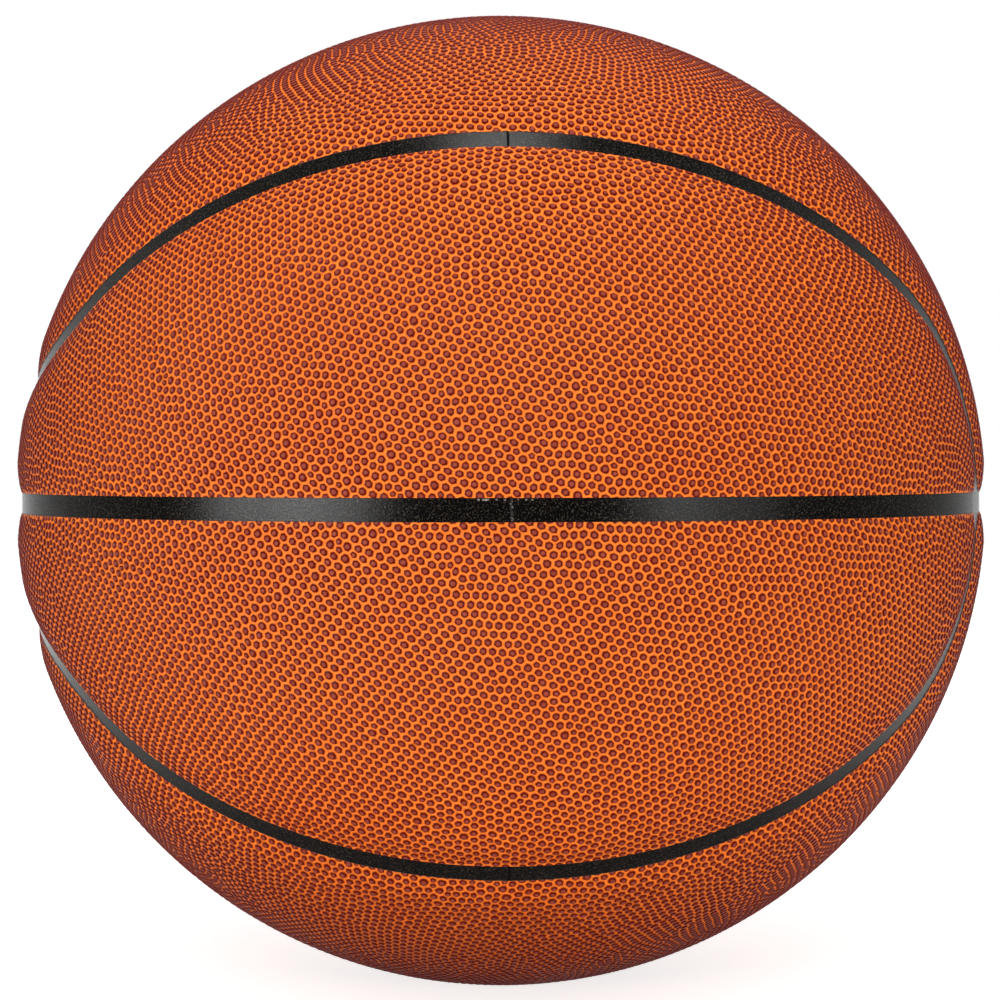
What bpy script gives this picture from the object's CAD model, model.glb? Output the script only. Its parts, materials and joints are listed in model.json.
# %% [markdown]
# # A basketball, dressed panel by panel
#
# The CAD frame is the ball as it comes apart on a bench: an air bladder, a thread winding, a black
# rubber carcass with raised ribs, eight cover panels on sponge pads, and a valve with its plug.
# Blender never moves those parts. It gives the cover its pebbles, the sponge its soft edge and every
# surface its finish. All sizes are in metres, and the centre of the ball is the origin.

# %% Load the frame
import json
import math

import bpy
import numpy as np
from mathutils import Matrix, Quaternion, Vector, geometry


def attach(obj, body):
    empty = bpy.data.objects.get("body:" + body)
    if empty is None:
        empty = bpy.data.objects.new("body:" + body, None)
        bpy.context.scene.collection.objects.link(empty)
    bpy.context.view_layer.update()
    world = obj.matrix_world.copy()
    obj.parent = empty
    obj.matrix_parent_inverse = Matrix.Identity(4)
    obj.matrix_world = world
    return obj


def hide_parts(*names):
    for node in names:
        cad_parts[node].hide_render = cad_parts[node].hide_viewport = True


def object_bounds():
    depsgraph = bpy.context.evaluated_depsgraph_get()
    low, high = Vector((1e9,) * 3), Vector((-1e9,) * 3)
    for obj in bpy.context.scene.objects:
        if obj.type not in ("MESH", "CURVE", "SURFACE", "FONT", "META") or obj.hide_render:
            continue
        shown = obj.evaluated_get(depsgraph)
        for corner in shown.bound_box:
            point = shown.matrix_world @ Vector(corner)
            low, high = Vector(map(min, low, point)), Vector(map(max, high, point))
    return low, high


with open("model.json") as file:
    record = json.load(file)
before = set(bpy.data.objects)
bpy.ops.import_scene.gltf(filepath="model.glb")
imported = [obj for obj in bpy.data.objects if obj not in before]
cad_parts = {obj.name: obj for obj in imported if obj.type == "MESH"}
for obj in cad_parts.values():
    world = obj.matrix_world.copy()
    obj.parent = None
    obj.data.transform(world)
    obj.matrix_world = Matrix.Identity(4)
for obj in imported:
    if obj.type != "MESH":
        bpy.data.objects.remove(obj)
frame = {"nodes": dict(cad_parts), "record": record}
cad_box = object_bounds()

MM = 0.001

# %% [markdown]
# ## Sizes that come from the frame
#
# The cover has to sit exactly where its CAD panels are, so the radii of the layers are read from the
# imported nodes. Reading them is safer than typing them again: when a layer changes, the looks follow.


# %% Read the radii of the layers
def radii(node):
    """How far the vertices of a CAD node lie from the centre of the ball."""
    mesh = frame["nodes"][node].data
    places = np.empty(3 * len(mesh.vertices))
    mesh.vertices.foreach_get("co", places)
    return np.linalg.norm(places.reshape(-1, 3), axis=1)


crown_radius = radii("front_upper_side_panel").max()
rib_top_radius = radii("carcass").max()
pad_top_radius = radii("front_upper_side_pad").max()
pad_bottom_radius = radii("front_upper_side_pad").min()
cement_film = 0.1 * MM
cover_bottom_radius = pad_top_radius + cement_film
print(f"crown {crown_radius / MM:.2f} mm, ribs {rib_top_radius / MM:.2f} mm, "
      f"cover bottom {cover_bottom_radius / MM:.2f} mm")

# %% [markdown]
# ## The seams
#
# A basketball has two great circles, one level and one upright, and a long curved seam that winds round
# both. It makes an oval on the front and one on the back, each with a round end on the right, and the
# ovals run into each other at a waist on the left. The curve is made of circular arcs that touch. On a
# ball, the distance to such an arc is only the angle to its axis, so one formula tells how deep inside
# its channel edges any point of a panel lies. The corners of a panel are rounded by the same formula.

# %% The arcs of the curved seam
oval_crest_angle = 41.9
oval_side_angle = 87.3
oval_reach_angle = 72.0
oval_lean_angle = 0.9
waist_angle = 13.0
waist_side = -90


def on_ball(longitude, latitude):
    """Direction from the centre; longitude runs from -Y towards +X, in degrees."""
    lon, lat = math.radians(longitude), math.radians(latitude)
    return np.array([math.cos(lat) * math.sin(lon), -math.cos(lat) * math.cos(lon), math.sin(lat)])


def end_arc_angle():
    """Angular radius of the end arc that touches both long sides and ends at the oval's reach."""
    span = math.radians(oval_reach_angle - oval_lean_angle)
    side = math.radians(oval_side_angle)
    fall = math.radians(oval_side_angle - oval_crest_angle)
    rise = math.cos(side) - math.cos(fall) * math.cos(span)
    run = math.cos(fall) * math.sin(span) - math.sin(side)
    return math.degrees(math.atan2(-rise, -run))


def waist_arc_angle():
    """Angular radius of the arc that touches a long side and crosses the upright circle squarely."""
    side = math.radians(oval_side_angle)
    along = side_axis @ on_ball(waist_side, waist_angle)
    across = side_axis @ on_ball(waist_side, waist_angle + 90)
    return math.degrees(math.atan2(math.cos(side) - along, across + math.sin(side)))


def beyond_touch(arc_axis, far_point):
    """Normal of the plane where a long side hands over to another arc, on that arc's side."""
    normal = np.cross(arc_axis, side_axis)
    return normal * np.sign(normal @ far_point)


side_axis = on_ball(oval_lean_angle, oval_crest_angle - oval_side_angle)
end_angle, waist_arc = end_arc_angle(), waist_arc_angle()
end_axis = on_ball(oval_reach_angle - end_angle, 0)
waist_axis = on_ball(waist_side, waist_angle + waist_arc)
end_beyond = beyond_touch(end_axis, on_ball(oval_reach_angle, 0))
waist_beyond = beyond_touch(waist_axis, on_ball(waist_side, waist_angle))
print(f"end arc of {end_angle:.1f} degrees, waist arc of {waist_arc:.1f} degrees")

# %% How deep a point lies inside its panel
channel_width = 4.8 * MM
half_channel = channel_width / 2
channel_corner_radius = 3.2 * MM
# Each quarter of the ball mirrors the front upper one, by these signs of x, y and z.
quarters = {
    "front_upper": (1, 1, 1),
    "front_lower": (1, 1, -1),
    "back_upper": (1, -1, 1),
    "back_lower": (1, -1, -1),
}


def angle_to(axis, directions):
    """Angle from an axis to each direction, in radians."""
    return np.arccos(np.clip(directions @ axis, -1, 1))


def oval_depth(directions):
    """How far inside the curved seam's oval each direction lies, along the crown; negative outside."""
    depth = math.radians(oval_side_angle) - angle_to(side_axis, directions)
    at_end, at_waist = directions @ end_beyond > 0, directions @ waist_beyond > 0
    depth[at_end] = math.radians(end_angle) - angle_to(end_axis, directions[at_end])
    depth[at_waist] = angle_to(waist_axis, directions[at_waist]) - math.radians(waist_arc)
    return depth * crown_radius


def edge_distance(directions, quarter, field, corner_radius):
    """How far inside its channel edges a panel's point lies, with the corners rounded."""
    folded = directions * quarters[quarter]
    oval = oval_depth(folded)
    level = np.arcsin(folded[:, 2]) * crown_radius
    upright = np.arcsin(-folded[:, 1]) * crown_radius
    inside = np.stack([oval if field == "oval" else -oval, level, upright]) - half_channel
    short = np.linalg.norm(np.maximum(corner_radius - inside, 0), axis=0)
    return corner_radius - short + np.maximum(inside.min(axis=0) - corner_radius, 0)


oval_middle = on_ball(oval_lean_angle, oval_crest_angle / 2)[None, :]
middle_depth = edge_distance(oval_middle, "front_upper", "oval", channel_corner_radius)[0]
print(f"the middle of an oval panel lies {middle_depth / MM:.1f} mm inside its edges")

# %% [markdown]
# ## The net under the pebbles
#
# The pebbles of a composite cover are pressed by a roller: close to even, never in a strict grid, and
# they run on under the cut edge. A jittered spiral spreads as many seeds over the ball as the cover has
# pebbles. For each panel the seeds are joined by a Delaunay net and moved to the middle of their own
# ground a few times, which evens the gaps and leaves short curved rows. A last small shake makes each
# pebble a shape of its own. The net is made on a stereographic map, because that map keeps circles
# round, so a net that is right on the map is right on the ball.

# %% Seeds, one for each pebble
pebble_area = 3.9 * MM**2
seed_jitter_share = 0.2
pebble_rng = np.random.default_rng(29)


def spiral_seeds():
    """Directions of a jittered spiral with one seed for each pebble's area."""
    count = int(4 * math.pi * crown_radius**2 / pebble_area)
    step = np.arange(count) + 0.5
    height = 1 - 2 * step / count
    turn = step * math.pi * (3 - math.sqrt(5))
    ring = np.sqrt(1 - height**2)
    seeds = np.stack([ring * np.cos(turn), ring * np.sin(turn), height], axis=1)
    jitter = seed_jitter_share * math.sqrt(pebble_area) / crown_radius
    seeds += pebble_rng.normal(0, jitter, seeds.shape)
    return seeds / np.linalg.norm(seeds, axis=1, keepdims=True)


all_seeds = spiral_seeds()
print(len(all_seeds), "seeds over the whole ball")


# %% Flat maps of the ball
def flatten(directions, pole, reach):
    """Map directions about a pole; reach gives the map's radius from the cosine to the pole."""
    east = np.array([1.0, 0, 0]) - pole[0] * pole
    east /= np.linalg.norm(east)
    north = np.cross(pole, east)
    flat = np.stack([directions @ east, directions @ north], axis=1)
    return flat * reach(directions @ pole)[:, None]


def stereographic(cosine):
    """Reach of the map that keeps circles round, for the nets."""
    return 2 / (1 + cosine)


def equal_area(cosine):
    """Reach of the map that keeps areas, for the textures."""
    return np.sqrt(2 / (1 + cosine))


print(f"a quarter turn from the pole lies {stereographic(0):.2f} radii out on the round map "
      f"and {equal_area(0):.2f} on the even one")

# %% A Delaunay net
same_place = 1e-9
# Blender's own numbers for a net that fills the hull of its points and one that stops at a rim.
whole_hull, inside_rim = 0, 5


def delaunay(directions, pole, rim=(), extent=whole_hull):
    """Triangles between directions, seen from outside; the edges of a rim stay in the net."""
    flat = [Vector(place) for place in flatten(directions, pole, stereographic)]
    made = geometry.delaunay_2d_cdt(flat, [tuple(edge) for edge in rim], [], extent, same_place)
    origin = np.array([first[0] for first in made[3]])
    return origin[np.array(made[2])]


three_axes = np.eye(3)
between_axes = three_axes.sum(axis=0) / math.sqrt(3)
print("three directions make", len(delaunay(three_axes, between_axes)), "triangle")

# %% Even out the seeds
seed_margin = 7 * MM
held_share = 0.6
relax_steps = 20
shake_share = 0.075


def ground_sums(directions, net):
    """Summed places and areas of the ground that lies nearest to each seed of a net."""
    corners = directions[net]
    centres = np.cross(corners[:, 1] - corners[:, 0], corners[:, 2] - corners[:, 0])
    centres /= np.linalg.norm(centres, axis=1, keepdims=True)
    places = np.zeros_like(directions)
    areas = np.zeros(len(directions))
    for corner in range(3):
        seed = corners[:, corner]
        for step, sign in ((1, 1), (2, -1)):
            half_way = (seed + corners[:, (corner + step) % 3]) / 2
            area = sign * np.einsum("ij,ij->i", np.cross(half_way - seed, centres - seed), seed)
            np.add.at(places, net[:, corner], (seed + half_way + centres) * area[:, None] / 3)
            np.add.at(areas, net[:, corner], area)
    return places, areas


def relaxed_net(directions, pole, free):
    """Free seeds moved to the middle of their ground a few times, then shaken, and the net of all."""
    for _ in range(relax_steps):
        places, areas = ground_sums(directions, delaunay(directions, pole))
        directions[free] = places[free] / areas[free, None]
        directions /= np.linalg.norm(directions, axis=1, keepdims=True)
    shake = shake_share * math.sqrt(pebble_area) / crown_radius
    directions[free] += pebble_rng.normal(0, shake, directions[free].shape)
    directions /= np.linalg.norm(directions, axis=1, keepdims=True)
    return directions, delaunay(directions, pole)


print(f"pebbles about {math.sqrt(pebble_area) / MM:.1f} mm apart, evened out in {relax_steps} steps")

# %% [markdown]
# ## Pebbles with Geometry Nodes
#
# Every seed becomes one pebble. The Dual Mesh node turns the net round, so that each seed owns a
# many-sided cell. The cell is then drawn in three times: to the foot of the pebble, to its shoulder
# and to its peak. Each ring is an Extrude of the single faces and a Set Position that pulls the new
# ring towards the middle of its own cell, a little rounder than the cell. Displacing a dense sheet
# would need ten times the faces for the same crisp foot, so the cells are modelled instead.
# The tree also stores how high each ring stands and a random tint for each pebble, for the finish.


# %% One function for nodes
def add_node(tree, kind, settings=None, inputs=None):
    """Add a node, set its properties, and fill its sockets with values or with other sockets."""
    made = tree.nodes.new(kind)
    for name, value in (settings or {}).items():
        setattr(made, name, value)
    for socket, value in (inputs or {}).items():
        if isinstance(value, bpy.types.NodeSocket):
            tree.links.new(value, made.inputs[socket])
        else:
            made.inputs[socket].default_value = value
    return made


# %% The inputs of the pebble tree
# Each ring: its share of the cell's width, and its share of the pebble's height.
pebble_rings = {"foot": (0.80, 0.03), "shoulder": (0.55, 0.85), "peak": (0.0, 1.0)}
pebble_sizes = {
    "Foot share": pebble_rings["foot"][0],
    "Shoulder share": pebble_rings["shoulder"][0],
    "Roundness share": 0.05,
    "Merge distance": 0.0005 * MM,
}
pebble_seed = 7

raise_pebbles = bpy.data.node_groups.new("raise_pebbles", "GeometryNodeTree")
sockets = raise_pebbles.interface
sockets.new_socket("Net", in_out="INPUT", socket_type="NodeSocketGeometry")
sockets.new_socket("Pebbles", in_out="OUTPUT", socket_type="NodeSocketGeometry")
for label, value in pebble_sizes.items():
    sockets.new_socket(label, in_out="INPUT", socket_type="NodeSocketFloat").default_value = value
sockets.new_socket("Seed", in_out="INPUT", socket_type="NodeSocketInt").default_value = pebble_seed
sockets.new_socket("Finish", in_out="INPUT", socket_type="NodeSocketMaterial")
given = add_node(raise_pebbles, "NodeGroupInput").outputs
print("the tree takes", [socket.name for socket in given if socket.name])


# %% Cells that remember their middle and their reach
def marked_cells(tree):
    """Turn the net into cells, and keep each cell's middle, its reach and a random tint."""
    cells = add_node(tree, "GeometryNodeDualMesh", {}, {0: given["Net"]}).outputs[0]
    place = add_node(tree, "GeometryNodeInputPosition").outputs[0]
    area = add_node(tree, "GeometryNodeInputMeshFaceArea").outputs[0]
    disc = add_node(tree, "ShaderNodeMath", {"operation": "DIVIDE"}, {0: area, 1: math.pi}).outputs[0]
    reach = add_node(tree, "ShaderNodeMath", {"operation": "SQRT"}, {0: disc}).outputs[0]
    tint = add_node(
        tree, "FunctionNodeRandomValue", {"data_type": "FLOAT"}, {"Seed": given["Seed"]}
    ).outputs[1]
    marks = (("cell_middle", "FLOAT_VECTOR", place), ("cell_reach", "FLOAT", reach), ("tint", "FLOAT", tint))
    for name, kind, value in marks:
        cells = add_node(
            tree,
            "GeometryNodeStoreNamedAttribute",
            {"data_type": kind, "domain": "FACE"},
            {"Geometry": cells, "Name": name, "Value": value},
        ).outputs[0]
    return cells


plain_cells = marked_cells(raise_pebbles)
print(len(raise_pebbles.nodes), "nodes make and mark the cells")


# %% How far each ring is drawn in
def ring_pulls(tree):
    """A cell's middle, the arm from there to a corner, and the share of the arm that each ring keeps."""
    place = add_node(tree, "GeometryNodeInputPosition").outputs[0]
    middle = add_node(
        tree, "GeometryNodeInputNamedAttribute", {"data_type": "FLOAT_VECTOR"}, {"Name": "cell_middle"}
    ).outputs[0]
    round_reach = add_node(
        tree, "GeometryNodeInputNamedAttribute", {"data_type": "FLOAT"}, {"Name": "cell_reach"}
    ).outputs[0]
    arm = add_node(tree, "ShaderNodeVectorMath", {"operation": "SUBTRACT"}, {0: place, 1: middle}).outputs[0]
    length = add_node(tree, "ShaderNodeVectorMath", {"operation": "LENGTH"}, {0: arm}).outputs["Value"]
    rounder = add_node(
        tree, "ShaderNodeMath", {"operation": "DIVIDE"}, {0: round_reach, 1: length}
    ).outputs[0]
    rounding = add_node(
        tree, "ShaderNodeMix", {"data_type": "FLOAT"}, {0: given["Roundness share"], 2: 1.0, 3: rounder}
    ).outputs[0]
    drawn_in = add_node(tree, "ShaderNodeMath", {"operation": "MINIMUM"}, {0: rounding, 1: 1.0}).outputs[0]
    foot_pull = add_node(
        tree, "ShaderNodeMath", {"operation": "MULTIPLY"}, {0: drawn_in, 1: given["Foot share"]}
    ).outputs[0]
    shoulder_pull = add_node(
        tree, "ShaderNodeMath", {"operation": "DIVIDE"}, {0: given["Shoulder share"], 1: given["Foot share"]}
    ).outputs[0]
    return middle, arm, {"foot": foot_pull, "shoulder": shoulder_pull, "peak": pebble_rings["peak"][0]}


cell_middle, cell_arm, pulls = ring_pulls(raise_pebbles)
print("rings drawn in:", list(pulls))


# %% Raise the rings
def raise_rings(tree, cells, middle, arm):
    """Extrude each cell to its foot, its shoulder and its peak, and keep how high each ring stands."""
    grown_from = {}
    for ring, (_, rise) in pebble_rings.items():
        raised = add_node(
            tree,
            "GeometryNodeExtrudeMesh",
            {"mode": "FACES"},
            {"Mesh": cells, "Offset Scale": 0.0, "Individual": True, **grown_from},
        )
        top = raised.outputs["Top"]
        grown_from = {"Selection": top}
        pulled = add_node(
            tree, "ShaderNodeVectorMath", {"operation": "SCALE"}, {0: arm, "Scale": pulls[ring]}
        ).outputs[0]
        ring_place = add_node(
            tree, "ShaderNodeVectorMath", {"operation": "ADD"}, {0: middle, 1: pulled}
        ).outputs[0]
        drawn = add_node(
            tree,
            "GeometryNodeSetPosition",
            {},
            {"Geometry": raised.outputs["Mesh"], "Selection": top, "Position": ring_place},
        ).outputs[0]
        cells = add_node(
            tree,
            "GeometryNodeStoreNamedAttribute",
            {"data_type": "FLOAT", "domain": "POINT"},
            {"Geometry": drawn, "Selection": top, "Name": "rise", "Value": rise},
        ).outputs[0]
    return cells


rings = raise_rings(raise_pebbles, plain_cells, cell_middle, cell_arm)
print(len(raise_pebbles.nodes), "nodes with the rings")

# %% Finish the tree
joined = add_node(
    raise_pebbles,
    "GeometryNodeMergeByDistance",
    {},
    {"Geometry": rings, "Distance": given["Merge distance"]},
).outputs[0]
facets = add_node(raise_pebbles, "GeometryNodeTriangulate", {}, {0: joined}).outputs[0]
real = add_node(raise_pebbles, "GeometryNodeRealizeInstances", {}, {0: facets}).outputs[0]
finished = add_node(
    raise_pebbles, "GeometryNodeSetMaterial", {}, {"Geometry": real, "Material": given["Finish"]}
).outputs[0]
add_node(raise_pebbles, "NodeGroupOutput", {}, {0: finished})
print("pebble tree with", len(raise_pebbles.nodes), "nodes")


# %% Run the tree on a net
def read_attribute(mesh, name, count, key="value", width=1):
    """Values of a mesh attribute, one row for each point or face."""
    values = np.empty(count * width, np.float32)
    mesh.attributes[name].data.foreach_get(key, values)
    return values.astype(float).reshape(count, width).squeeze()


def grow_pebbles(directions, net, finish):
    """Directions, triangles, rise of each point and each triangle's pebble, after the pebble tree."""
    flat_net = bpy.data.meshes.new("net")
    flat_net.from_pydata((directions * crown_radius).tolist(), [], net.tolist())
    host = bpy.data.objects.new("net", flat_net)
    bpy.context.scene.collection.objects.link(host)
    modifier = host.modifiers.new("raise_pebbles", "NODES")
    modifier.node_group = raise_pebbles
    values = {**pebble_sizes, "Seed": pebble_seed, "Finish": finish}
    for socket in raise_pebbles.interface.items_tree:
        if socket.in_out == "INPUT" and socket.name in values:
            modifier[socket.identifier] = values[socket.name]
    grown = bpy.data.meshes.new_from_object(host.evaluated_get(bpy.context.evaluated_depsgraph_get()))
    bpy.data.objects.remove(host)
    bpy.data.meshes.remove(flat_net)
    places = np.empty(3 * len(grown.vertices))
    grown.vertices.foreach_get("co", places)
    corners = np.empty(len(grown.loops), np.int32)
    grown.loops.foreach_get("vertex_index", corners)
    rise = read_attribute(grown, "rise", len(grown.vertices))
    middle = read_attribute(grown, "cell_middle", len(grown.polygons), "vector", 3)
    pebbles = {
        "tint": read_attribute(grown, "tint", len(grown.polygons)),
        "pebble_reach": read_attribute(grown, "cell_reach", len(grown.polygons)) / crown_radius,
        "pebble_middle": middle / np.linalg.norm(middle, axis=1, keepdims=True),
    }
    bpy.data.meshes.remove(grown)
    places = places.reshape(-1, 3)
    return places / np.linalg.norm(places, axis=1, keepdims=True), corners.reshape(-1, 3), rise, pebbles


# %% [markdown]
# ## Cutting a panel out and closing it
#
# On the real ball the panels are die-cut from a pebbled sheet and skived at the edge, so that they roll
# down to the channels. Here the pebbled sheet is cut where the edge distance is zero: every triangle
# that crosses the line is split there. A wall goes down from the cut, and a coarse Delaunay floor
# closes the piece, so each panel is one watertight mesh of its real thickness.


# %% Cut a sheet along a line
def trim(directions, triangles, rise, keep):
    """The part of a sheet where keep is positive: points, triangles, their sources and the cut's edges."""
    inside = keep > 0
    held = inside[triangles].sum(axis=1)
    source = np.arange(len(triangles))

    def turned(count, wanted):
        chosen = triangles[held == count]
        first = np.argmax(inside[chosen] == wanted, axis=1)
        order = (first[:, None] + np.arange(3)) % 3
        return np.take_along_axis(chosen, order, axis=1)

    # A triangle with one corner inside keeps a tip, and one with two keeps a four-sided rest.
    one, two = turned(1, True), turned(2, False)
    crossings = np.concatenate([one[:, [0, 1]], one[:, [0, 2]], two[:, [1, 0]], two[:, [2, 0]]])
    crossings, where = np.unique(crossings, axis=0, return_inverse=True)
    where = where.ravel() + len(directions)
    way = keep[crossings[:, 0]] / (keep[crossings[:, 0]] - keep[crossings[:, 1]])
    cut = directions[crossings[:, 0]] * (1 - way[:, None]) + directions[crossings[:, 1]] * way[:, None]
    cut_rise = rise[crossings[:, 0]] * (1 - way) + rise[crossings[:, 1]] * way
    one_a, one_b, two_a, two_b = np.split(where, np.cumsum([len(one), len(one), len(two)]))

    pieces = [
        triangles[held == 3],
        np.stack([one[:, 0], one_a, one_b], axis=1),
        np.stack([two_a, two[:, 1], two[:, 2]], axis=1),
        np.stack([two_a, two[:, 2], two_b], axis=1),
    ]
    sources = [source[held == 3], source[held == 1], source[held == 2], source[held == 2]]
    rim = np.concatenate([np.stack([one_a, one_b], axis=1), np.stack([two_b, two_a], axis=1)])
    points = np.concatenate([directions, cut / np.linalg.norm(cut, axis=1, keepdims=True)])
    heights = np.concatenate([rise, cut_rise])
    kept, new_triangles = np.unique(np.concatenate(pieces), return_inverse=True)
    new_triangles = new_triangles.reshape(-1, 3)
    renumber = np.full(len(points), -1)
    renumber[kept] = np.arange(len(kept))
    return points[kept], new_triangles, heights[kept], np.concatenate(sources), renumber[rim]


one_corner_inside = trim(three_axes, np.array([[0, 1, 2]]), np.zeros(3), np.array([1, -1, -1]))
print("a triangle with one corner inside keeps", len(one_corner_inside[1]), "triangle")

# %% The roll-down at the channels
panel_edge_step = 0.25 * MM
shoulder_width = 11 * MM
shoulder_corner_radius = 6 * MM
crown_lift = 0.15 * MM
shoulder_drop = crown_radius - rib_top_radius - panel_edge_step


def roll_down(directions, quarter, field):
    """How far the cover lies below the crown at each point."""
    inside = edge_distance(directions, quarter, field, shoulder_corner_radius)
    share = 1 - np.clip(inside / shoulder_width, 0, 1)
    return np.maximum((shoulder_drop + crown_lift) * share**2 - crown_lift, 0)


print(f"panels roll down {shoulder_drop / MM:.2f} mm over {shoulder_width / MM:.0f} mm")

# %% The hole for the valve
needle_port = next(mount for mount in frame["record"]["mounts"] if mount["name"] == "needle_port")
valve_axis = np.array(needle_port["axis"])
valve_hole_radius = 5.1 * MM


def valve_clear(directions):
    """How far each point lies outside the hole that the valve's neck comes up through."""
    angle = np.minimum(angle_to(valve_axis, directions), math.pi / 2)
    return crown_radius * np.sin(angle) - valve_hole_radius


print(f"valve hole {2 * valve_hole_radius / MM:.1f} mm wide, along {valve_axis.round(2).tolist()}")

# %% A mesh from arrays
sharp_edge = math.radians(62)


def build_mesh(name, points, triangles, materials, slots, corner_map):
    """A mesh from arrays, smooth but for its cut edges, with a map for its texture."""
    mesh = bpy.data.meshes.new(name)
    mesh.vertices.add(len(points))
    mesh.vertices.foreach_set("co", points.ravel())
    mesh.loops.add(3 * len(triangles))
    mesh.loops.foreach_set("vertex_index", triangles.ravel().astype(np.int32))
    mesh.polygons.add(len(triangles))
    mesh.polygons.foreach_set("loop_start", np.arange(0, 3 * len(triangles), 3, dtype=np.int32))
    for material in materials:
        mesh.materials.append(material)
    mesh.polygons.foreach_set("material_index", slots.astype(np.int32))
    mesh.update(calc_edges=True)
    mesh.validate()
    mesh.uv_layers.new(name="OFBake").uv.foreach_set("vector", corner_map.ravel())
    mesh.set_sharp_from_angle(angle=sharp_edge)
    return mesh


def store_pebbles(mesh, heights, sources, pebbles):
    """Keep each point's rise and each face's pebble on a mesh; its wall and its floor get zeros."""
    rise = np.zeros(len(mesh.vertices), np.float32)
    rise[:len(heights)] = heights
    mesh.attributes.new("rise", "FLOAT", "POINT").data.foreach_set("value", rise)
    for label, values in pebbles.items():
        kind, key = ("FLOAT", "value") if values.ndim == 1 else ("FLOAT_VECTOR", "vector")
        stored = np.zeros((len(mesh.polygons), *values.shape[1:]), np.float32)
        stored[:len(sources)] = values[sources]
        mesh.attributes.new(label, kind, "FACE").data.foreach_set(key, stored.ravel())


# %% Close a cut sheet into a solid piece
floor_stride = 6
floor_margin = 0.6 * MM
settle_width = 1.0 * MM
settled_rise = 0.6
low_strip_share = 0.14
strip_gap_share = 0.01


def map_into(flat, low, high):
    """Stretch a flat map over the square between two heights of the picture."""
    least, most = flat.min(axis=0), flat.max(axis=0)
    square = (flat - least) / (most - least)
    return np.stack([square[:, 0], low + square[:, 1] * (high - low)], axis=1)


def closed_layer(
    name, field_key, sheet, seeds, pole, gap, top_radius, pebble_height, bottom_radius, materials
):
    """Cut one layer of a field out of a sheet, give it its thickness and link it as a piece."""
    quarter, field = field_key
    directions, triangles, rise, pebbles = sheet

    def keep(places):
        inside = edge_distance(places, quarter, field, channel_corner_radius) - gap
        if field_key == ("back_lower", "oval"):
            inside = np.minimum(inside, valve_clear(places))
        return inside

    top, faces, heights, sources, rim = trim(directions, triangles, rise, keep(directions))
    settle = np.clip(keep(top) / settle_width, 0, 1)
    settled = settle * heights + (1 - settle) * settled_rise
    top_places = top * (top_radius + settled * pebble_height - roll_down(top, quarter, field))[:, None]

    rim_points, rim_edges = np.unique(rim, return_inverse=True)
    rim_edges = rim_edges.reshape(-1, 2)
    inner = seeds[keep(seeds) > floor_margin][::floor_stride]
    low = np.concatenate([top[rim_points], inner])
    low_places = low * (bottom_radius - roll_down(low, quarter, field))[:, None]
    floor = delaunay(low, pole, rim_edges, inside_rim)[:, ::-1] + len(top)
    below = rim_edges + len(top)
    wall = np.concatenate([
        np.stack([rim[:, 1], rim[:, 0], below[:, 0]], axis=1),
        np.stack([rim[:, 1], below[:, 0], below[:, 1]], axis=1),
    ])

    points = np.concatenate([top_places, low_places])
    all_faces = np.concatenate([faces, wall, floor])
    hidden = np.arange(len(all_faces)) >= len(faces)
    flat = flatten(np.concatenate([top, low]), pole, equal_area)
    high_map = map_into(flat, low_strip_share, 1)[all_faces]
    low_map = map_into(flat, 0, low_strip_share - strip_gap_share)[all_faces]
    corner_map = np.where(hidden[:, None, None], low_map, high_map)
    slots = hidden if len(materials) > 1 else np.zeros(len(all_faces))
    mesh = build_mesh(name, points, all_faces, materials, slots, corner_map)
    store_pebbles(mesh, heights, sources, pebbles)
    piece = bpy.data.objects.new(name, mesh)
    bpy.context.scene.collection.objects.link(piece)
    return piece


# %% [markdown]
# ## Colour
#
# Colours are written as sRGB hex, as a colour picker shows them. Blender's shaders work in linear
# light, so one function turns them over. Patterns are sized in millimetres and read Object
# coordinates, which for every piece here are metres from the centre of the ball.


# %% Helpers for finishes
def hex_colour(code):
    """Linear colour with alpha from an sRGB hex code."""
    parts = [int(code[i:i + 2], 16) / 255 for i in (1, 3, 5)]
    return (*[p / 12.92 if p <= 0.04045 else ((p + 0.055) / 1.055) ** 2.4 for p in parts], 1.0)


def per_metre(millimetres):
    """Texture scale that repeats a pattern about once in this many millimetres."""
    return 1 / (millimetres * MM)


def new_finish(name):
    """An empty material, its tree and its Object coordinates."""
    finish = bpy.data.materials.new(name)
    finish.use_nodes = True
    tree = finish.node_tree
    tree.nodes.clear()
    return finish, tree, add_node(tree, "ShaderNodeTexCoord").outputs["Object"]


def close_finish(finish, inputs):
    """Give a material its shader, with values or sockets for the shader's inputs, and its output."""
    shader = add_node(finish.node_tree, "ShaderNodeBsdfPrincipled", {}, inputs)
    add_node(finish.node_tree, "ShaderNodeOutputMaterial", {}, {"Surface": shader.outputs[0]})
    return finish


print(f"half grey is {hex_colour('#808080')[0]:.3f} in linear light")

# %% [markdown]
# ## Composite leather
#
# The cover is polyurethane pressed on a microfibre backing. The sheet is coloured bright orange right
# through, and a roller lays a dark red-brown lacquer on the pebble tops only. So the eye sees dark
# spots with a soft shine in a bright, duller net. The finish reads how high the surface stands on its
# pebble and changes colour half way up its side.

# %% Values of the leather
# The white surround shows in every surface, so a usual specular level would veil the dark colours.
low_specular = 0.03
# Patterns in millimetres: drifts of colour, the frayed edge of the lacquer and the grain of the skin.
leather_drift, lacquer_fray, leather_grain = 30, 0.9, 0.22
valley_colours = ("#F6782A", "#FF8834")
top_colours = ("#863A2E", "#96463A")
lacquer_rim = "#5C0800"
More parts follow.
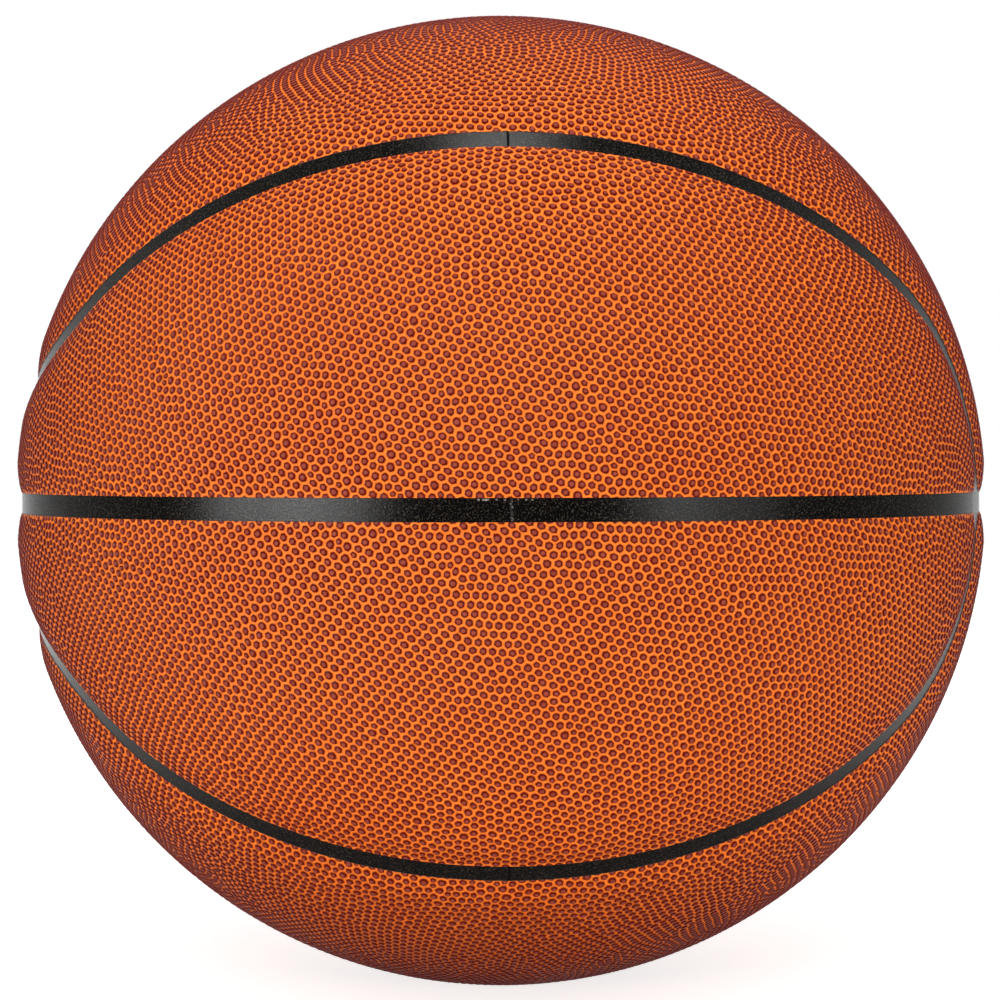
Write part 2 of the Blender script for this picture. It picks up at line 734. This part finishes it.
# The lacquer ends by a weighted sum: the place in the cell, the distance from its middle and a fray.
cell_weight, round_weight, fray_weight = 1.4, 0.2, 0.26
lacquer_end = (1.17, 1.50)
flat_top_end = (0.24, 0.56)
(foot_share, foot_rise), (shoulder_share, shoulder_rise) = pebble_rings["foot"], pebble_rings["shoulder"]
side_slope = (shoulder_share - foot_share) / (shoulder_rise - foot_rise)
side_start = foot_share - side_slope * foot_rise
print(f"a pebble's side runs from {shoulder_share:.2f} to {foot_share:.2f} of its cell")


# %% Where the lacquer lies
def lacquer_cover(tree, place, rise, round_share):
    """1 on the lacquered top of a pebble and 0 in the valleys, with a frayed edge between them."""
    fray = add_node(
        tree, "ShaderNodeTexNoise", {}, {"Vector": place, "Scale": per_metre(lacquer_fray), "Detail": 2.0}
    ).outputs["Fac"]
    cell_share = add_node(
        tree,
        "ShaderNodeMath",
        {"operation": "MULTIPLY_ADD"},
        {0: rise, 1: cell_weight * side_slope, 2: cell_weight * side_start},
    ).outputs[0]
    both_shares = add_node(
        tree,
        "ShaderNodeMath",
        {"operation": "MULTIPLY_ADD"},
        {0: round_share, 1: round_weight, 2: cell_share},
    ).outputs[0]
    spread = add_node(
        tree, "ShaderNodeMath", {"operation": "MULTIPLY_ADD"}, {0: fray, 1: fray_weight, 2: both_shares}
    ).outputs[0]
    start, end = lacquer_end
    return add_node(
        tree,
        "ShaderNodeMapRange",
        {"interpolation_type": "SMOOTHSTEP"},
        {"Value": spread, "From Min": start, "From Max": end, "To Min": 1.0, "To Max": 0.0},
    ).outputs[0]


# %% Composite leather
def composite_leather():
    """Pressed polyurethane with rolled lacquer: dark spots with a soft shine in a bright, dull net."""
    finish, tree, place = new_finish("composite_leather")
    rise = add_node(tree, "ShaderNodeAttribute", {"attribute_name": "rise"}).outputs["Fac"]
    tint = add_node(tree, "ShaderNodeAttribute", {"attribute_name": "tint"}).outputs["Fac"]
    middle = add_node(tree, "ShaderNodeAttribute", {"attribute_name": "pebble_middle"}).outputs["Vector"]
    reach = add_node(tree, "ShaderNodeAttribute", {"attribute_name": "pebble_reach"}).outputs["Fac"]
    outward = add_node(tree, "ShaderNodeVectorMath", {"operation": "NORMALIZE"}, {0: place}).outputs[0]
    arm = add_node(
        tree, "ShaderNodeVectorMath", {"operation": "DISTANCE"}, {0: outward, 1: middle}
    ).outputs["Value"]
    round_share = add_node(tree, "ShaderNodeMath", {"operation": "DIVIDE"}, {0: arm, 1: reach}).outputs[0]
    lacquer = lacquer_cover(tree, place, rise, round_share)
    drift = add_node(
        tree, "ShaderNodeTexNoise", {}, {"Vector": place, "Scale": per_metre(leather_drift), "Detail": 3.0}
    ).outputs["Fac"]
    dark_valley, light_valley = map(hex_colour, valley_colours)
    valley = add_node(
        tree, "ShaderNodeMix", {"data_type": "RGBA"}, {0: drift, 6: dark_valley, 7: light_valley}
    ).outputs[2]
    dark_top, light_top = map(hex_colour, top_colours)
    top = add_node(
        tree, "ShaderNodeMix", {"data_type": "RGBA"}, {0: tint, 6: dark_top, 7: light_top}
    ).outputs[2]
    start, end = flat_top_end
    flat_top = add_node(
        tree,
        "ShaderNodeMapRange",
        {"interpolation_type": "SMOOTHSTEP"},
        {"Value": round_share, "From Min": start, "From Max": end, "To Min": 1.0, "To Max": 0.0},
    ).outputs[0]
    lacquered = add_node(
        tree, "ShaderNodeMix", {"data_type": "RGBA"}, {0: flat_top, 6: hex_colour(lacquer_rim), 7: top}
    ).outputs[2]
    colour = add_node(
        tree, "ShaderNodeMix", {"data_type": "RGBA"}, {0: lacquer, 6: valley, 7: lacquered}
    ).outputs[2]
    roughness = add_node(
        tree, "ShaderNodeMapRange", {}, {"Value": lacquer, "To Min": 0.55, "To Max": 0.40}
    ).outputs[0]
    grain = add_node(
        tree, "ShaderNodeTexNoise", {}, {"Vector": place, "Scale": per_metre(leather_grain), "Detail": 3.0}
    ).outputs["Fac"]
    bump = add_node(
        tree, "ShaderNodeBump", {}, {"Strength": 0.35, "Distance": 0.02 * MM, "Height": grain}
    ).outputs[0]
    look = {"Base Color": colour, "Roughness": roughness, "Normal": bump, "Specular IOR Level": low_specular}
    return close_finish(finish, look)


leather = composite_leather()
print(leather.name, "with", len(leather.node_tree.nodes), "nodes")

# %% Microfibre backing, which shows at the cut edges
fibre_size = 0.3


def microfibre_backing():
    """Brushed microfibre: matt and dark, seen only as a thin shadow line along a cut edge."""
    finish, tree, place = new_finish("microfibre_backing")
    fibre = add_node(
        tree, "ShaderNodeTexNoise", {}, {"Vector": place, "Scale": per_metre(fibre_size), "Detail": 4.0}
    ).outputs["Fac"]
    colour = add_node(
        tree,
        "ShaderNodeMix",
        {"data_type": "RGBA"},
        {0: fibre, 6: hex_colour("#1A0E0A"), 7: hex_colour("#3A2118")},
    ).outputs[2]
    return close_finish(finish, {"Base Color": colour, "Roughness": 0.9})


backing = microfibre_backing()
print(backing.name, "with", len(backing.node_tree.nodes), "nodes")

# %% Sponge rubber
sponge_cell = 0.6


def sponge_rubber():
    """Foamed rubber: open cells that swallow the light, dull tan with darker pores."""
    finish, tree, place = new_finish("sponge_rubber")
    cells = add_node(
        tree, "ShaderNodeTexVoronoi", {}, {"Vector": place, "Scale": per_metre(sponge_cell)}
    ).outputs["Distance"]
    colour = add_node(
        tree,
        "ShaderNodeMix",
        {"data_type": "RGBA"},
        {0: cells, 6: hex_colour("#7A5B34"), 7: hex_colour("#D9B57C")},
    ).outputs[2]
    bump = add_node(
        tree, "ShaderNodeBump", {}, {"Strength": 0.8, "Distance": 0.2 * MM, "Height": cells}
    ).outputs[0]
    return close_finish(finish, {"Base Color": colour, "Roughness": 0.95, "Normal": bump})


sponge = sponge_rubber()
print(sponge.name, "with", len(sponge.node_tree.nodes), "nodes")

# %% [markdown]
# ## Eight covers on eight pads
#
# Each field of the ball gets its own net, so no two panels share a pattern, as on a ball whose panels
# are cut from different places of the sheet. The pad takes the bare net and the cover takes the
# pebbled one, and both roll down to the channel in the same way.

# %% Make the panels and their pads
panel_edge_gap = 0.1 * MM
pad_edge_gap = 0.25 * MM
pebble_height = 0.45 * MM
# Seeds on the far side of the ball are left out, because the mirrored seam formula repeats there.
far_side_cosine = -0.2
field_poles = {
    "oval": on_ball((oval_reach_angle + waist_side) / 2, oval_crest_angle / 2),
    "side": on_ball(oval_lean_angle, (oval_crest_angle + 90) / 2),
}
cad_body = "ball"

for quarter in quarters:
    for field, field_pole in field_poles.items():
        key = (quarter, field)
        pole = field_pole * quarters[quarter]
        depth = edge_distance(all_seeds, quarter, field, channel_corner_radius)
        near = (depth > -seed_margin) & (all_seeds @ pole > far_side_cosine)
        seeds, net = relaxed_net(all_seeds[near], pole, depth[near] > -held_share * seed_margin)
        plain = (seeds, net, np.zeros(len(seeds)), {})
        pad = closed_layer(
            f"{quarter}_{field}_sponge", key, plain, seeds, pole, pad_edge_gap,
            pad_top_radius, 0, pad_bottom_radius, [sponge],
        )
        cover = closed_layer(
            f"{quarter}_{field}_cover", key, grow_pebbles(seeds, net, leather), seeds, pole, panel_edge_gap,
            crown_radius - pebble_height, pebble_height, cover_bottom_radius, [leather, backing],
        )
        for piece, node, slot in ((pad, "pad", "sponge"), (cover, "panel", "cover")):
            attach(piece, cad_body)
            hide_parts(f"{quarter}_{field}_{node}")
        print(f"{cover.name}: {len(cover.data.polygons)} triangles, pad {len(pad.data.polygons)}")

# %% [markdown]
# ## Rubber, thread and butyl
#
# The carcass, the winding, the bladder and the valve keep their CAD shape, because it is the real one.
# They only need their finish. The channels are the carcass's moulded rubber: nearly black, with a fine
# grain from the mould that catches the light in specks.

# %% Moulded black rubber
rubber_grit = 0.34


def moulded_rubber(name, dark, light, roughness):
    """Rubber cured in a mould: a dark skin, with fine grit that catches the light in specks."""
    finish, tree, place = new_finish(name)
    grit = add_node(
        tree, "ShaderNodeTexNoise", {}, {"Vector": place, "Scale": per_metre(rubber_grit), "Detail": 3.0}
    ).outputs["Fac"]
    speck = add_node(
        tree, "ShaderNodeMapRange", {}, {"Value": grit, "From Min": 0.54, "From Max": 0.78}
    ).outputs[0]
    colour = add_node(
        tree, "ShaderNodeMix", {"data_type": "RGBA"}, {0: speck, 6: hex_colour(dark), 7: hex_colour(light)}
    ).outputs[2]
    bump = add_node(
        tree, "ShaderNodeBump", {}, {"Strength": 0.8, "Distance": 0.045 * MM, "Height": grit}
    ).outputs[0]
    look = {"Base Color": colour, "Roughness": roughness, "Normal": bump, "Specular IOR Level": low_specular}
    return close_finish(finish, look)


# %% Wound nylon thread
# The wave texture draws about three bands in this many millimetres. Real thread is far finer and
# would not show.
band_length = 8
winding_turns = ((0.3, 0.5, 0.0), (1.1, -0.4, 0.8), (-0.7, 1.3, 1.9))


def wound_nylon():
    """Nylon thread wound every way: pale strands that cross, with a faint gloss."""
    finish, tree, place = new_finish("wound_nylon")
    strands = None
    for turn in winding_turns:
        turned = add_node(tree, "ShaderNodeMapping", {}, {"Vector": place, "Rotation": turn}).outputs[0]
        bands = add_node(
            tree,
            "ShaderNodeTexWave",
            {"wave_type": "RINGS"},
            {"Vector": turned, "Scale": per_metre(band_length)},
        ).outputs["Fac"]
        if strands is None:
            strands = bands
        else:
            strands = add_node(
                tree, "ShaderNodeMath", {"operation": "MAXIMUM"}, {0: strands, 1: bands}
            ).outputs[0]
    colour = add_node(
        tree,
        "ShaderNodeMix",
        {"data_type": "RGBA"},
        {0: strands, 6: hex_colour("#6E6656"), 7: hex_colour("#E9E3D2")},
    ).outputs[2]
    bump = add_node(
        tree, "ShaderNodeBump", {}, {"Strength": 0.7, "Distance": 0.2 * MM, "Height": strands}
    ).outputs[0]
    return close_finish(finish, {"Base Color": colour, "Roughness": 0.55, "Normal": bump})


# %% Give the CAD nodes their finish
# The ribs are smooth and black with light specks, so they mirror the lamps as grey stretches. Butyl is
# greyer and more even, and the soft rubber of the valve is duller still.
node_finishes = {
    "carcass": moulded_rubber("moulded_carcass_rubber", "#020101", "#4E463C", roughness=0.17),
    "thread_winding": wound_nylon(),
    "bladder": moulded_rubber("butyl_rubber", "#141414", "#1E1E1E", roughness=0.38),
    "valve_housing": moulded_rubber("valve_rubber", "#141312", "#262422", roughness=0.5),
    "valve_plug": moulded_rubber("plug_rubber", "#1C1A18", "#2C2926", roughness=0.45),
}
for node, finish in node_finishes.items():
    for place in frame["nodes"][node].material_slots:
        place.material = finish
    print(node, "in", finish.name)

# %% [markdown]
# ## Marks of the making
#
# The carcass is cured in a mould of two halves. Where they meet, a thin line of rubber squeezes out. On
# the arcs it stays black, and on the level seam it is trimmed roughly, which leaves it grey. At the
# front some cement has also come up along the edge of a panel. All of them are small ridges with a
# ragged height, laid across the rib or along it and closed underneath, because a painted line would
# have no shadow.

# %% A ragged little ridge
ridge_steps = 14
ridge_sink = 0.05 * MM
ragged_shares = (0.4, 1.0)
wander_share = 0.15
ridge_section = ((-1.0, 0.0), (-0.5, 0.75), (0.0, 1.0), (0.5, 0.75), (1.0, 0.0))
ridge_rng = np.random.default_rng(11)


def ridge(longitude, latitude, along_level, length, width, height):
    """Points and triangles of a closed ridge on a rib, across the level seam or along it."""
    centre, east = on_ball(longitude, latitude), on_ball(longitude + 90, 0)
    run = east if along_level else np.cross(centre, east)
    side = np.cross(run, centre)
    across, lift = np.array(ridge_section).T
    way = np.linspace(-length / 2, length / 2, ridge_steps)
    ragged = ridge_rng.uniform(*ragged_shares, ridge_steps)
    wander = ridge_rng.normal(0, wander_share * width, ridge_steps)
    offset = across * width / 2 + wander[:, None]
    places = centre * rib_top_radius + run * way[:, None, None] + side * offset[..., None]
    places /= np.linalg.norm(places, axis=2, keepdims=True)
    reach = rib_top_radius - ridge_sink + (height + ridge_sink) * ragged[:, None] * lift
    points = (places * reach[..., None]).reshape(-1, 3)

    ring = len(ridge_section)
    station = ring * np.arange(ridge_steps - 1)[:, None]
    first = (station + np.arange(ring)).ravel()
    beside = (station + (np.arange(ring) + 1) % ring).ravel()
    fan = np.array([(0, k, k + 1) for k in range(1, ring - 1)])
    triangles = np.concatenate([
        np.stack([first, beside, beside + ring], axis=1),
        np.stack([first, beside + ring, first + ring], axis=1),
        fan[:, ::-1],
        fan + ring * (ridge_steps - 1),
    ])
    corners = points[triangles] - points.mean(axis=0)
    volume = np.einsum("ij,ij->i", corners[:, 0], np.cross(corners[:, 1], corners[:, 2])).sum()
    return points, triangles if volume > 0 else triangles[:, ::-1]


# %% A piece from ridges
def ridge_piece(name, ridges, finish):
    """One piece from several ridges, riding on the ball with the carcass."""
    points, triangles, maps = [], [], []
    for row, (ridge_points, ridge_triangles) in enumerate(ridges):
        triangles.append(ridge_triangles + sum(len(p) for p in points))
        points.append(ridge_points)
        way, step = np.divmod(np.arange(len(ridge_points)), len(ridge_section))
        maps.append(np.stack([way / ridge_steps, (row + step / len(ridge_section)) / len(ridges)], axis=1))
    faces = np.concatenate(triangles)
    corner_map = np.concatenate(maps)[faces]
    mesh = build_mesh(name, np.concatenate(points), faces, [finish], np.zeros(len(faces)), corner_map)
    piece = bpy.data.objects.new(name, mesh)
    bpy.context.scene.collection.objects.link(piece)
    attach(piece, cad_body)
    print(f"{name}: {len(ridges)} ridges, {len(faces)} triangles")


# %% Parting lines and cement beads
parting_longitude = 1.1
parting_width, parting_height = 0.6 * MM, 0.22 * MM
bead_width, bead_height = 0.4 * MM, 0.3 * MM
bead_inset = 0.3 * MM
# Where each bead lies, in degrees of longitude, and its length in millimetres.
bead_lengths = {-2.2: 0.5, -1.5: 1.4, -0.4: 0.4, 0.4: 0.5, 1.7: 0.3, 2.5: 0.4, 3.1: 0.4}
bead_latitude = math.degrees((half_channel - bead_inset) / rib_top_radius)

level_places = [(parting_longitude, 0), (180 - parting_longitude, 0)]
arc_places = [
    (longitude, latitude)
    for longitude in (parting_longitude, 180 - parting_longitude)
    for latitude in (-oval_crest_angle, oval_crest_angle)
] + [(parting_longitude, 90), (parting_longitude, -90)]
# Torn rubber looks grey, a line that the mould left stays black, and dried cement is pale.
parting_finishes = {
    "trimmed_lines": (level_places, moulded_rubber("trimmed_rubber", "#1C1A18", "#9A948C", roughness=0.5)),
    "parting_lines": (arc_places, moulded_rubber("mould_line_rubber", "#040303", "#0C0A08", roughness=0.8)),
}
for name, (places, finish) in parting_finishes.items():
    lines = [
        ridge(*place, along_level=False, length=channel_width, width=parting_width, height=parting_height)
        for place in places
    ]
    ridge_piece(name, lines, finish)
beads = [
    ridge(longitude, bead_latitude, along_level=True, length=size * MM, width=bead_width, height=bead_height)
    for longitude, size in bead_lengths.items()
]
ridge_piece("cement_beads", beads, moulded_rubber("dried_cement", "#8A857C", "#F2EDE4", roughness=0.4))

# %% [markdown]
# ## Floor, light and camera
#
# A pale floor and a white surround, as in a studio: the surround is white where the camera or a
# reflection looks at it, and gives only soft light otherwise. Two lamps stand left and right at the
# height of the level seam, one hangs above the ball, and a weak one stands behind the camera. Smooth
# dark rubber shows mostly what it mirrors, so two long cards give the level rib its grey stretches.
# The camera stands at the photograph's angle, so that the two pictures can be laid over each other.

# %% White surround
scene = bpy.context.scene
scene.view_settings.view_transform = "Standard"
surround_level = 0.40
studio = bpy.data.worlds.new("studio")
scene.world = studio
studio.use_nodes = True
studio_tree = studio.node_tree
studio_tree.nodes.clear()


def seen_directly(tree):
    """1 for camera, glossy and transmission rays, 0 for the rays that carry light."""
    rays = add_node(tree, "ShaderNodeLightPath").outputs
    both = add_node(
        tree, "ShaderNodeMath", {"operation": "MAXIMUM"}, {0: rays["Is Camera Ray"], 1: rays["Is Glossy Ray"]}
    ).outputs[0]
    return add_node(
        tree, "ShaderNodeMath", {"operation": "MAXIMUM"}, {0: both, 1: rays["Is Transmission Ray"]}
    ).outputs[0]


white_wall = hex_colour("#FFFFFF")
soft = add_node(studio_tree, "ShaderNodeBackground", {}, {"Color": white_wall, "Strength": surround_level})
white = add_node(studio_tree, "ShaderNodeBackground", {}, {"Color": white_wall, "Strength": 1.0})
surround = add_node(
    studio_tree,
    "ShaderNodeMixShader",
    {},
    {0: seen_directly(studio_tree), 1: soft.outputs[0], 2: white.outputs[0]},
)
add_node(studio_tree, "ShaderNodeOutputWorld", {}, {"Surface": surround.outputs[0]})
print(f"the surround is white to the eye and gives {surround_level:.2f} of that as light")

# %% Pale floor
floor_half = 3.0
floor_glow = 0.75
floor_mesh = bpy.data.meshes.new("floor")
floor_level = cad_box[0][2]
floor_mesh.from_pydata(
    [(x * floor_half, y * floor_half, floor_level) for x, y in ((-1, -1), (1, -1), (1, 1), (-1, 1))],
    [],
    [(0, 1, 2, 3)],
)
# Matt paper has no shine, and a little glow keeps it white to the eye without lighting the ball.
floor_paint = bpy.data.materials.new("matt_white_paper")
floor_paint.use_nodes = True
paper_tree = floor_paint.node_tree
paper_tree.nodes.clear()
matt = add_node(paper_tree, "ShaderNodeBsdfDiffuse", {}, {"Color": hex_colour("#F2F1EF")})
glow_level = add_node(
    paper_tree, "ShaderNodeMath", {"operation": "MULTIPLY"}, {0: seen_directly(paper_tree), 1: floor_glow}
)
glow = add_node(paper_tree, "ShaderNodeEmission", {}, {"Strength": glow_level.outputs[0]})
paper = add_node(paper_tree, "ShaderNodeAddShader", {}, {0: matt.outputs[0], 1: glow.outputs[0]})
add_node(paper_tree, "ShaderNodeOutputMaterial", {}, {"Surface": paper.outputs[0]})
floor_mesh.materials.append(floor_paint)
floor_object = bpy.data.objects.new("floor", floor_mesh)
scene.collection.objects.link(floor_object)
print(f"floor at {floor_level / MM:.1f} mm")

# %% Soft lamps and cards
# Where each hangs as seen from the ball, its distance and its size in metres, and its watts.
lamps = {
    "left_softbox": (on_ball(-43, 3), 1.3, 0.24, 5.2),
    "right_softbox": (on_ball(38, 3), 1.3, 0.32, 4.6),
    "top_softbox": (on_ball(0, 83), 1.2, 0.4, 9.5),
    "front_softbox": (on_ball(-5, 28), 1.4, 0.6, 2.6),
}
# A card shows in reflections alone, so it draws a long grey sheen on the level rib and lights nothing.
cards = {
    "left_card": (on_ball(-46.5, 2), 1.3, (0.9, 0.2), 36.0),
    "right_card": (on_ball(45, 2), 1.3, (0.75, 0.22), 8.0),
}


def hang_light(name, shape, direction, distance, size, watts):
    """Hang an area light that faces the ball's middle."""
    light = bpy.data.lights.new(name, "AREA")
    light.shape = shape
    light.size, light.size_y = size
    light.energy = watts
    stand = bpy.data.objects.new(name, light)
    stand.location = direction * distance
    stand.rotation_euler = Vector(direction).to_track_quat("Z", "Y").to_euler()
    scene.collection.objects.link(stand)
    print(name, "at", [round(float(x), 2) for x in stand.location])
    return stand


for name, (direction, distance, size, watts) in lamps.items():
    hang_light(name, "DISK", direction, distance, (size, size), watts)
for name, (direction, distance, size, watts) in cards.items():
    hang_light(name, "RECTANGLE", direction, distance, size, watts).visible_diffuse = False

# %% Camera at the photograph's angle
camera_azimuth = 0.0
camera_height_angle = 0.95
camera_roll = math.radians(-0.09)
camera_radii = 5
camera_distance = camera_radii * crown_radius
image_width = 1000
ball_outline_pixels = 485
outline_centre = (500.3, 500.0)
middle_pixel = (image_width - 1) / 2
sensor_width = 36.0
focal_pixels = ball_outline_pixels * math.sqrt((camera_distance / crown_radius) ** 2 - 1)

eye = bpy.data.cameras.new("eye")
eye.sensor_width = sensor_width
eye.lens = sensor_width * focal_pixels / image_width
eye.shift_x = (middle_pixel - outline_centre[0]) / image_width
eye.shift_y = (outline_centre[1] - middle_pixel) / image_width
eye_object = bpy.data.objects.new("eye", eye)
back = Vector(on_ball(camera_azimuth, camera_height_angle))
eye_object.location = back * camera_distance
turn = (-back).to_track_quat("-Z", "Y")
eye_object.rotation_euler = (turn @ Quaternion((0, 0, 1), camera_roll)).to_euler()
scene.collection.objects.link(eye_object)
scene.camera = eye_object
print(f"lens {eye.lens:.1f} mm at {camera_distance:.3f} m")
